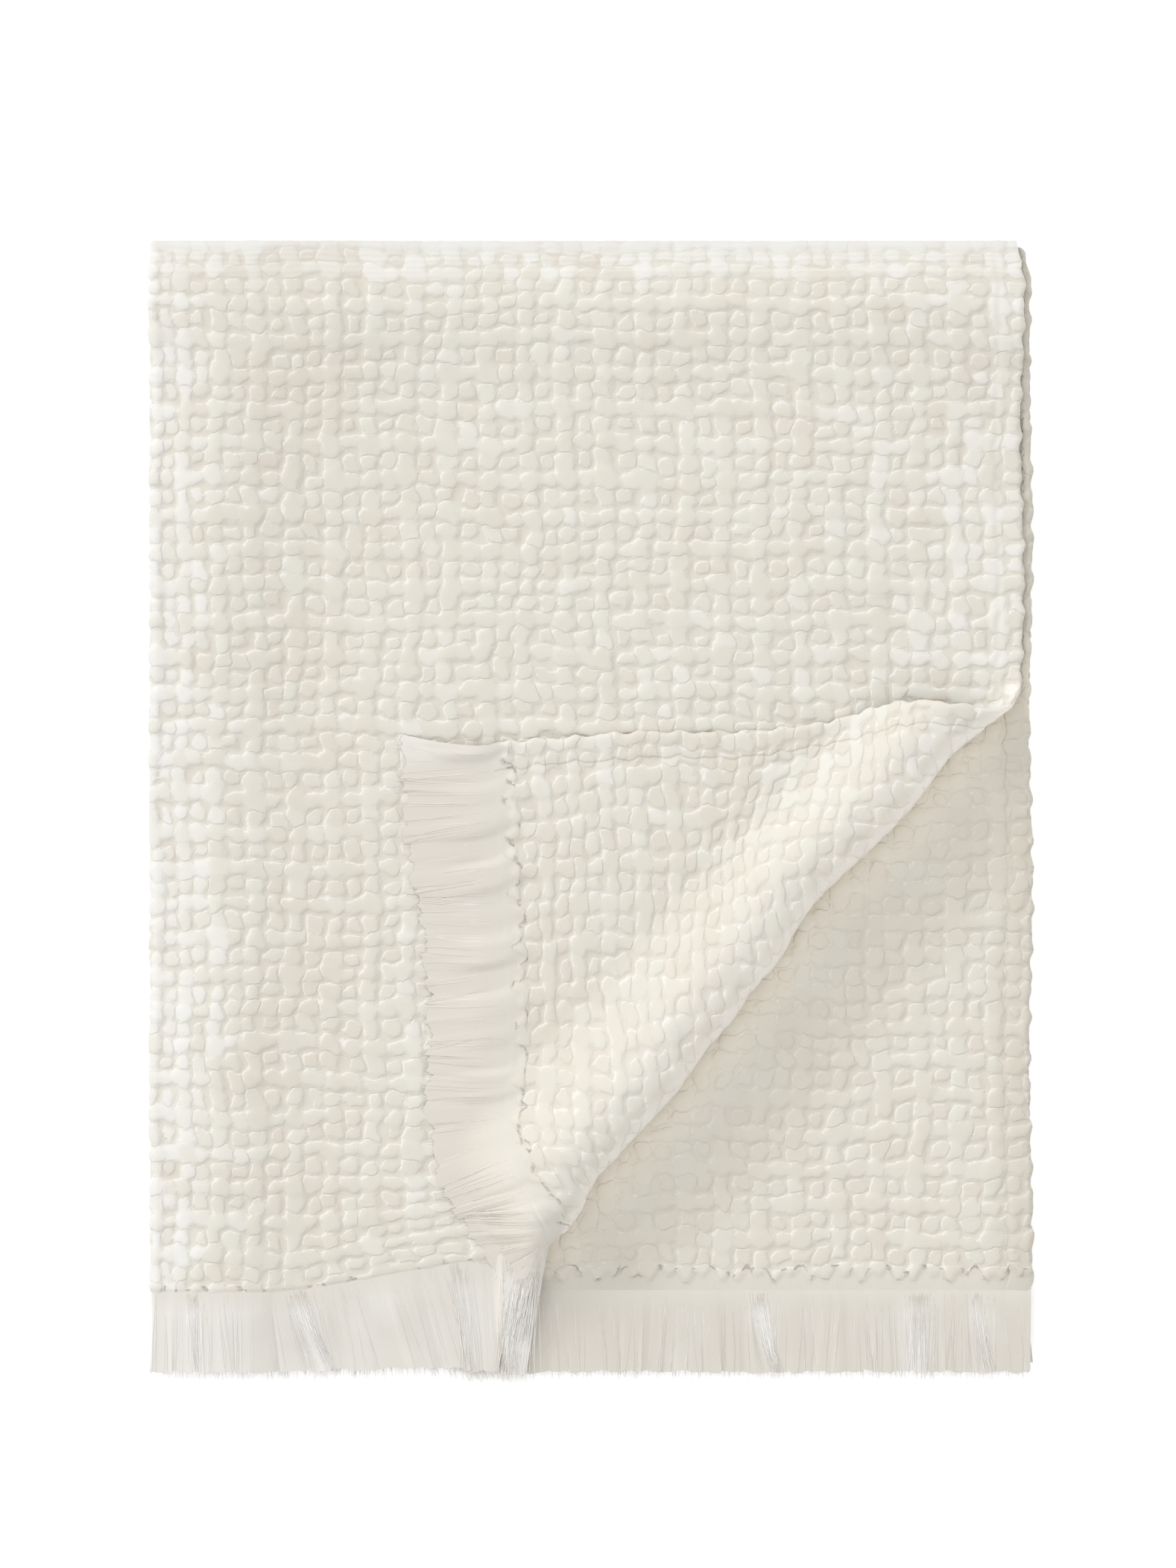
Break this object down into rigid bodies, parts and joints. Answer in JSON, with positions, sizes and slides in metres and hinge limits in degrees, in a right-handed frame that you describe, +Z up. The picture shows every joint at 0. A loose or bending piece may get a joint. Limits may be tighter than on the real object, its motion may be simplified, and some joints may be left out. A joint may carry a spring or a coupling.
{
  "type": "folded cotton blanket with fringed ends",
  "caption": "Cotton throw folded in quarters, one top corner turned back over a soft roll, with fringe along both short ends.",
  "frame": {"origin": "middle of the folded blanket's outline, on the surface that it lies on", "axes": "+Z up, +Y along the longer side towards the cross fold, +X across towards the free selvedges; the long fold is at -X and the fringed ends are at -Y"},
  "size_m": [0.652, 0.834, 0.0521],
  "materials": {
    "cotton_weave": "matte ivory cotton in a raised honeycomb-like double weave of small pillows",
    "cotton_fringe": "loose untwisted ivory cotton threads in soft bunches"
  },
  "bodies": {
    "root": {"blanket_cloth": "cotton_weave", "fringe_upper_end": "cotton_fringe", "fringe_lower_end": "cotton_fringe"}
  },
  "joints": []
}
